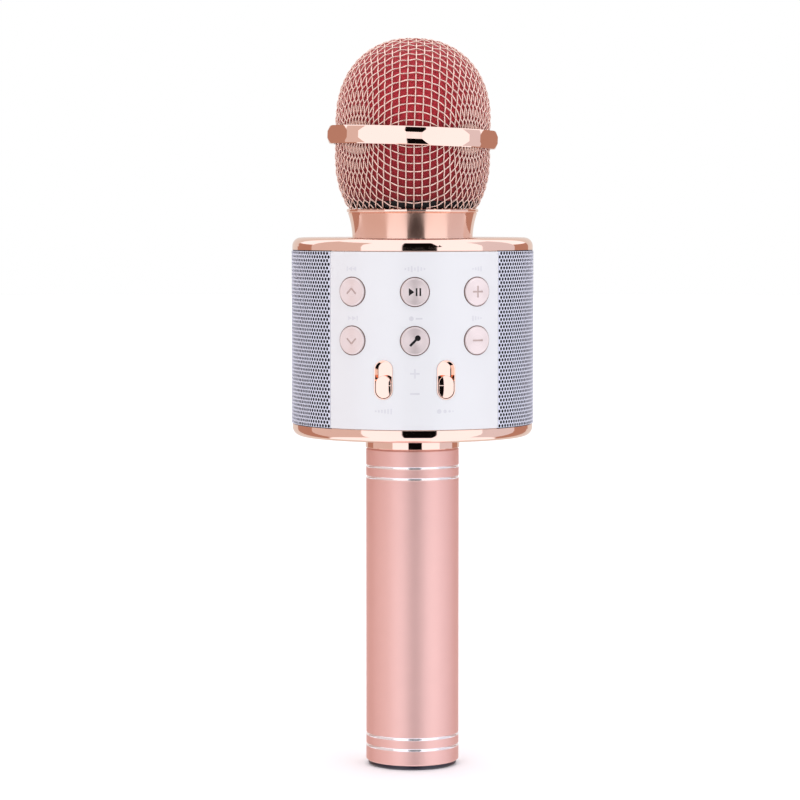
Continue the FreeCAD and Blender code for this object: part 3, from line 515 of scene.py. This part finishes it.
def button_bezels():
    """Thin dark ring round each button, bent to the drum, with its lip on the panel."""
    around, sides = 72, len(BEZEL_SECTION)
    vertices, faces = [], []
    for name, node in frame["nodes"].items():
        if not name.endswith("_button"):
            continue
        low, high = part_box(name)
        angle = BUTTON_ANGLES[name.split("_")[1]]
        height = (low[2] + high[2]) / 2
        first = len(vertices)
        for k in range(around):
            turn = 2 * math.pi * k / around
            for radius, proud in BEZEL_SECTION:
                across = radius * math.cos(turn)
                out = math.sqrt(DRUM_RADIUS**2 - across**2) + proud
                vertices.append((
                    across * math.cos(angle) + out * math.sin(angle),
                    across * math.sin(angle) - out * math.cos(angle),
                    height + radius * math.sin(turn),
                ))
        for k in range(around):
            here, there = first + k * sides, first + (k + 1) % around * sides
            for i in range(sides):
                n = (i + 1) % sides
                faces.append((here + i, here + n, there + n, there + i))
    return add_object("button_bezels", mesh_of("bezels", vertices, faces), "microphone")


# ---------------------------------------------------------------- materials
ROSE_PLATE = (0.955, 0.70, 0.585)


def material(name, colour, roughness, metallic=0.0, **sockets):
    """Node material with these constants on its shader."""
    made = bpy.data.materials.new(name)
    made.use_nodes = True
    inputs = made.node_tree.nodes["Principled BSDF"].inputs
    inputs["Base Color"].default_value = (*colour, 1)
    inputs["Roughness"].default_value = roughness
    inputs["Metallic"].default_value = metallic
    for socket, value in sockets.items():
        inputs[socket.replace("_", " ")].default_value = value
    return made


def add(made, kind, *links, **settings):
    """Adds a node. links are values or sockets for its inputs in order.

    None keeps an input's default.
    """
    node = made.node_tree.nodes.new("ShaderNode" + kind)
    for key, value in settings.items():
        setattr(node, key, value)
    for index, value in enumerate(links):
        if value is None:
            continue
        if isinstance(value, bpy.types.NodeSocket):
            made.node_tree.links.new(value, node.inputs[index])
        else:
            node.inputs[index].default_value = value
    return node


def link(made, output, socket):
    shader = made.node_tree.nodes["Principled BSDF"]
    made.node_tree.links.new(output, shader.inputs[socket])


def here(made):
    """Object coordinates, which are the shared frame's."""
    return add(made, "TexCoord").outputs["Object"]


def noise(made, size, detail=2.0, where=None):
    """Noise with grains about this size, in metres."""
    where = where or here(made)
    node = add(made, "TexNoise", where, noise_dimensions="3D")
    node.inputs["Scale"].default_value = 1 / size
    node.inputs["Detail"].default_value = detail
    return node.outputs["Fac"]


def between(made, factor, low, high):
    """Maps 0 to 1 onto a range of numbers."""
    node = add(made, "MapRange", factor)
    node.inputs["To Min"].default_value = low
    node.inputs["To Max"].default_value = high
    return node.outputs["Result"]


def mix(made, factor, colour_a, colour_b):
    """Mixes two colours, each three numbers or a socket."""
    node = add(made, "Mix", data_type="RGBA")
    tree = made.node_tree
    if isinstance(factor, bpy.types.NodeSocket):
        tree.links.new(factor, node.inputs[0])
    else:
        node.inputs[0].default_value = factor
    for index, colour in ((6, colour_a), (7, colour_b)):
        if isinstance(colour, bpy.types.NodeSocket):
            tree.links.new(colour, node.inputs[index])
        else:
            node.inputs[index].default_value = (*colour, 1)
    return node.outputs[2]


def maths(made, operation, *values):
    return add(made, "Math", *values, operation=operation).outputs[0]


def vector_maths(made, operation, *values):
    node = add(made, "VectorMath", *values, operation=operation)
    return node.outputs["Value" if operation in ("DOT_PRODUCT", "LENGTH") else "Vector"]


def bump(made, height, strength, distance):
    node = add(made, "Bump")
    made.node_tree.links.new(height, node.inputs["Height"])
    node.inputs["Strength"].default_value = strength
    node.inputs["Distance"].default_value = distance
    link(made, node.outputs["Normal"], "Normal")


def plated(name, colour, roughness, metallic=1.0):
    """Bright plating: faint unevenness of tone and gloss, and a very slight ripple."""
    made = material(name, colour, roughness, metallic)
    tone = noise(made, 9 * MM)
    darker = [c * 0.95 for c in colour]
    link(made, mix(made, tone, darker, colour), "Base Color")
    link(made, between(made, noise(made, 2 * MM, 4), roughness * 0.6, roughness * 1.5), "Roughness")
    bump(made, noise(made, 5 * MM), 0.05, 0.05 * MM)
    return made


def plated_cover():
    """Plating that is satin and paler on the flat deck round the neck."""
    made = plated("rose_cover", ROSE_PLATE, 0.045)
    height = add(made, "SeparateXYZ", here(made)).outputs["Z"]
    deck_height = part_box("top_cover")[1][2] - 0.02 * MM
    deck = maths(made, "GREATER_THAN", height, deck_height)
    inputs = made.node_tree.nodes["Principled BSDF"].inputs
    plate, gloss = (inputs[socket].links[0].from_socket for socket in ("Base Color", "Roughness"))
    link(made, mix(made, deck, plate, (0.90, 0.76, 0.70)), "Base Color")
    gap = maths(made, "SUBTRACT", 0.3, gloss)
    link(made, maths(made, "MULTIPLY_ADD", gap, deck, gloss), "Roughness")
    return made


def moulded(name, colour, roughness=0.45, grain=0.25 * MM):
    """Moulded plastic or rubber with a fine spark-eroded grain."""
    made = material(name, colour, roughness)
    lighter = [min(c * 1.25 + 0.004, 1) for c in colour]
    link(made, mix(made, noise(made, 6 * MM, 5), colour, lighter), "Base Color")
    link(made, between(made, noise(made, grain), roughness * 0.85, roughness * 1.15), "Roughness")
    bump(made, noise(made, grain), 0.15, 0.02 * MM)
    return made


def anodised():
    """Bead-blasted anodised aluminium with bright-cut grooves that show bare metal."""
    rose = (0.93, 0.585, 0.53)
    made = material("anodised_rose", rose, 0.5, 0.75)
    tone = noise(made, 4 * MM, 6)
    coat = mix(made, tone, [c * 0.96 for c in rose], rose)
    height = add(made, "SeparateXYZ", here(made)).outputs["Z"]
    groove = 0.0
    for z in GROOVE_HEIGHTS:
        groove = maths(made, "ADD", groove, maths(made, "COMPARE", height, z, GROOVE_WIDTH / 2))
    link(made, mix(made, groove, coat, (0.93, 0.92, 0.93)), "Base Color")
    gloss = between(made, noise(made, 0.15 * MM), 0.44, 0.54)
    link(made, maths(made, "SUBTRACT", gloss, maths(made, "MULTIPLY", groove, 0.36)), "Roughness")
    bump(made, noise(made, 0.12 * MM), 0.12, 0.02 * MM)
    return made


def spun(name, node_name, angle, icon_colour):
    """Turned metal face: fine rings about the button's middle, and an icon filled with colour."""
    rose = (0.93, 0.81, 0.785)
    made = material(name, rose, 0.36, 0.5, Anisotropic=0.9)
    low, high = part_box(node_name)
    centre = Vector([(a + b) / 2 for a, b in zip(low, high)])
    out = Vector((math.sin(angle), -math.cos(angle), 0))
    from_centre = vector_maths(made, "SUBTRACT", here(made), tuple(centre))
    depth = vector_maths(made, "DOT_PRODUCT", from_centre, tuple(out))
    around = vector_maths(made, "CROSS_PRODUCT", from_centre, tuple(out))
    outwards = vector_maths(made, "CROSS_PRODUCT", tuple(out), around)
    link(made, vector_maths(made, "NORMALIZE", outwards), "Tangent")
    radius = vector_maths(made, "LENGTH", around)
    ring_pitch, icon_reach, icon_depth = 0.16 * MM, 3.2 * MM, 0.12 * MM
    rings = maths(made, "SINE", maths(made, "MULTIPLY", radius, 2 * math.pi / ring_pitch))
    uneven = add(made, "TexNoise", radius, noise_dimensions="1D")
    made.node_tree.links.new(radius, uneven.inputs["W"])
    uneven.inputs["Scale"].default_value = 1 / (0.3 * MM)
    bump(made, maths(made, "ADD", rings, uneven.outputs["Fac"]), 0.25, 0.01 * MM)
    tone = between(made, uneven.outputs["Fac"], 0.0, 1.0)
    metal = mix(made, tone, [c * 0.82 for c in rose], rose)
    face = max(Vector(v.co).dot(out) for v in frame["nodes"][node_name].data.vertices)
    sunk = maths(made, "LESS_THAN", depth, face - centre.dot(out) - icon_depth)
    inside = maths(made, "LESS_THAN", radius, icon_reach)
    icon = maths(made, "MULTIPLY", sunk, inside)
    link(made, mix(made, icon, metal, icon_colour), "Base Color")
    return made


def gloss_white():
    made = material("gloss_white", (0.75, 0.755, 0.76), 0.3, Coat_Weight=0.15, Coat_Roughness=0.1)
    tone = noise(made, 14 * MM, 3)
    link(made, mix(made, tone, (0.74, 0.745, 0.75), (0.76, 0.765, 0.765)), "Base Color")
    link(made, between(made, noise(made, 3 * MM), 0.27, 0.37), "Roughness")
    bump(made, noise(made, 2.5 * MM), 0.03, 0.05 * MM)
    return made


def painted_steel():
    made = material("painted_steel", (0.65, 0.67, 0.77), 0.42)
    tone = noise(made, 1.1 * MM, 4)
    link(made, mix(made, tone, (0.62, 0.64, 0.74), (0.68, 0.70, 0.80)), "Base Color")
    bump(made, noise(made, 0.2 * MM), 0.2, 0.02 * MM)
    return made


def foam_material():
    """Open-cell foam: lighter strands with painted shade in the pores between them, and painted
    shade that darkens it towards the foot of the basket.
    """
    made = material("crimson_foam", (0.45, 0.03, 0.06), 0.95, Sheen_Weight=0.3)
    cells = add(made, "TexVoronoi", here(made), feature="F1")
    cells.inputs["Scale"].default_value = 1 / (0.55 * MM)
    pore = cells.outputs["Distance"]
    patch = noise(made, 4 * MM, 3)
    skin = mix(made, patch, (0.56, 0.018, 0.032), (0.69, 0.038, 0.058))
    # Painted shade: below the ring the foam darkens towards the foot of the basket, as if shaded by
    # the ring.
    height = add(made, "SeparateXYZ", here(made)).outputs["Z"]
    low = add(made, "MapRange", height, RING_Z + 8 * MM, BASKET_BOTTOM)
    skin = mix(made, low.outputs["Result"], skin, (0.22, 0.005, 0.010))
    # Painted shade in the pores: the colour darkens where the bump sinks between cells. The cell
    # pattern itself is the foam's own.
    link(made, mix(made, between(made, pore, 1.0, 0.0), (0.22, 0.005, 0.010), skin), "Base Color")
    bump(made, pore, 0.8, -0.15 * MM)
    return made


def board_material():
    """Solder mask with lighter copper runs under it."""
    made = material("solder_mask", (0.02, 0.13, 0.06), 0.3, Coat_Weight=0.4)
    runs = add(made, "TexBrick", here(made))
    runs.inputs["Scale"].default_value = 1 / (6 * MM)
    mask, copper = (0.015, 0.11, 0.05), (0.04, 0.22, 0.09)
    link(made, mix(made, runs.outputs["Fac"], mask, copper), "Base Color")
    return made


def clear_plastic():
    made = material("clear_pipe", (0.9, 0.95, 1.0), 0.12, Transmission_Weight=0.6, IOR=1.46)
    link(made, between(made, noise(made, 0.5 * MM), 0.08, 0.2), "Roughness")
    return made


def paint_frame():
    """Gives every CAD node that shows its material."""
    plate = plated("rose_plate", ROSE_PLATE, 0.045)
    steel = plated("bright_steel", (0.62, 0.62, 0.64), 0.25)
    dark_steel = plated("black_steel", (0.08, 0.08, 0.085), 0.4)
    black = moulded("black_plastic", (0.012, 0.012, 0.014))
    rubber = moulded("black_rubber", (0.02, 0.02, 0.02), 0.7)
    sleeve = moulded("lead_sleeve", (0.35, 0.02, 0.02), 0.4)
    board = board_material()
    white = gloss_white()
    by_slot = {
        "rose_gold_plate": plate, "white_gloss": white, "rose_anodised": anodised(),
        "steel": steel, "ferrite": dark_steel, "black_plastic": black, "black_rubber": rubber,
        "board_green": board, "lead_sleeve": sleeve, "clear_pipe": clear_plastic(),
        "dark_cap": moulded("dark_cap", (0.012, 0.009, 0.022), 0.35),
        "paper_cone": moulded("paper_cone", (0.025, 0.025, 0.027), 0.8, 0.6 * MM),
        "cell_sleeve": moulded("cell_sleeve", (0.03, 0.12, 0.35), 0.3),
    }
    slot_of = {part["node"]: part["material_slot"] for part in frame["record"]["subparts"]}
    black_icon, pale_icon = (0.01, 0.008, 0.008), (0.60, 0.46, 0.42)
    for name, node in frame["nodes"].items():
        if name.endswith("_button"):
            place = name[:-len("_button")]
            angle = BUTTON_ANGLES[place.split("_")[1]]
            colour = black_icon if "centre" in place else pale_icon
            made = spun(f"spun_{place}", name, angle, colour)
        elif name == "top_cover":
            made = plated_cover()
        elif name.endswith(("speaker_frame", "speaker_screws")):
            made = dark_steel
        else:
            made = by_slot.get(slot_of[name])
        if made:
            node.data.materials.clear()
            node.data.materials.append(made)


# ---------------------------------------------------------------- camera, floor and lights
def camera():
    lens = bpy.data.cameras.new("camera")
    lens.lens = 135
    lens.sensor_width = 36
    lens.clip_start, lens.clip_end = 0.01, 50
    eye = bpy.data.objects.new("camera", lens)
    bpy.context.scene.collection.objects.link(eye)
    eye.location = (-CAMERA_DISTANCE * math.sin(CAMERA_TURN),
                    -CAMERA_DISTANCE * math.cos(CAMERA_TURN), CAMERA_HEIGHT)
    eye.rotation_euler = (Vector(CAMERA_AIM) - eye.location).to_track_quat("-Z", "Y").to_euler()
    bpy.context.scene.camera = eye


def glowing(name, colour, strength):
    made = bpy.data.materials.new(name)
    made.use_nodes = True
    tree = made.node_tree
    tree.nodes.clear()
    glow = tree.nodes.new("ShaderNodeEmission")
    glow.inputs["Color"].default_value = (*colour, 1)
    glow.inputs["Strength"].default_value = strength
    output = tree.nodes.new("ShaderNodeOutputMaterial")
    tree.links.new(glow.outputs[0], output.inputs["Surface"])
    return made


def stage_object(name, mesh, made):
    thing = bpy.data.objects.new(name, mesh)
    thing.data.materials.append(made)
    bpy.context.scene.collection.objects.link(thing)
    return thing


def disc(radius, count=96):
    corners = [(radius * math.cos(2 * math.pi * k / count),
                radius * math.sin(2 * math.pi * k / count), 0) for k in range(count)]
    return mesh_of("disc", corners, [range(count)], smooth=False)


def sun(name, elevation, strength, spread):
    """Broad soft light from this elevation on the buttons' side. Plating doesn't mirror it."""
    light = bpy.data.lights.new(name, "SUN")
    light.energy = strength
    light.angle = math.radians(spread)
    lamp = bpy.data.objects.new(name, light)
    lamp.rotation_euler = (math.radians(90 - elevation), 0, 0)
    lamp.visible_glossy = False
    bpy.context.scene.collection.objects.link(lamp)


# Cards and flags round the microphone, as (azimuths, elevations, colour), in degrees.
# Azimuth 0 is the buttons' side and 90 is +X. Later ones stand in front of earlier ones.
# The last one is the slit in the dark flag that the ring round the grille mirrors.
WHITE = (1.25, 1.26, 1.37)
BACK_WALL = (0.80, 0.72, 0.68)
DARK_FLAG = (0.50, 0.27, 0.21)
BLACK = (0.004, 0.003, 0.003)
CARDS = [
    ((-180, -145), (-60, 50), BACK_WALL), ((145, 180), (-60, 50), BACK_WALL),
    ((-145, -113), (-45, 14), DARK_FLAG), ((113, 145), (-45, 14), DARK_FLAG),
    ((-113, -51), (-45, 50), (0.77, 0.62, 0.60)), ((69, 113), (-45, 50), (0.81, 0.75, 0.82)),
    ((-11, 22), (-50, 53.5), BLACK), ((-14, 26), (0.6, 2.4), WHITE),
]
CARD_EDGE = 0.8  # half the width of a card's soft edge, in degrees


def reflected_studio(world):
    """What each direction of the studio shows: white, with the cards in front of it."""
    along = add(world, "SeparateXYZ", add(world, "TexCoord").outputs["Generated"])
    x, y, z = along.outputs
    azimuth = maths(world, "ARCTAN2", x, maths(world, "MULTIPLY", y, -1.0))
    elevation = maths(world, "ARCSINE", z)
    colour = WHITE
    for azimuths, elevations, card in CARDS:
        inside = maths(world, "MULTIPLY", within(world, azimuth, *azimuths),
                       within(world, elevation, *elevations))
        colour = mix(world, inside, colour, card)
    return colour


def within(world, angle, start, end):
    """1 between two angles in degrees and 0 outside them, with soft edges."""
    sides = []
    for edge in (start, end):
        node = add(world, "MapRange", angle, interpolation_type="SMOOTHSTEP")
        node.inputs["From Min"].default_value = math.radians(edge - CARD_EDGE)
        node.inputs["From Max"].default_value = math.radians(edge + CARD_EDGE)
        sides.append(node.outputs["Result"])
    return maths(world, "SUBTRACT", *sides)


def studio():
    floor_paint = material("floor_paint", (0.9, 0.9, 0.9), 0.6)
    link(floor_paint, mix(floor_paint, noise(floor_paint, 0.05), (0.89, 0.89, 0.89),
                          (0.91, 0.91, 0.91)), "Base Color")
    floor = stage_object("floor", disc(FLOOR_RADIUS), floor_paint)
    floor.visible_glossy = False

    sky = bpy.data.meshes.new("backdrop")
    shell = bmesh.new()
    bmesh.ops.create_uvsphere(shell, u_segments=32, v_segments=16, radius=BACKDROP_RADIUS)
    shell.to_mesh(sky)
    shell.free()
    backdrop = stage_object("backdrop", sky, glowing("backdrop_glow", (1, 1, 1), 1.0))
    for ray in ("visible_diffuse", "visible_glossy", "visible_transmission", "visible_shadow",
                "visible_volume_scatter"):
        setattr(backdrop, ray, False)

    sun("overhead", 90, 1.2, 80)
    sun("front_fill", 25, 0.1, 80)
    world = bpy.data.worlds.new("studio")
    bpy.context.scene.world = world
    world.use_nodes = True
    light = world.node_tree.nodes["Background"]
    world.node_tree.links.new(reflected_studio(world), light.inputs["Color"])
    bpy.context.scene.view_settings.view_transform = "Standard"


# ---------------------------------------------------------------- the scene
camera()
studio()
paint_frame()
wire = plated("rose_wire", (1.0, 0.74, 0.63), 0.25, metallic=0.75)
for woven in grille_wires():
    woven.data.materials.append(wire)
foam().data.materials.append(foam_material())
foam_skirt().data.materials.append(moulded("skirt_black", (0.008, 0.007, 0.008), 0.8))
steel_paint = painted_steel()
# Each perforated sheet gets a black screen of painted shade behind it, which darkens its holes.
for side in (-1, 1):
    perforated_sheet(side).data.materials.append(steel_paint)
    shade_screen(side).data.materials.append(moulded("shade_screen", (0.006, 0.006, 0.007), 0.9))
button_bezels().data.materials.append(plated("dark_bezel", (0.20, 0.11, 0.09), 0.3))
printed_marks().data.materials.append(moulded("pale_ink", (0.58, 0.58, 0.60), 0.6))
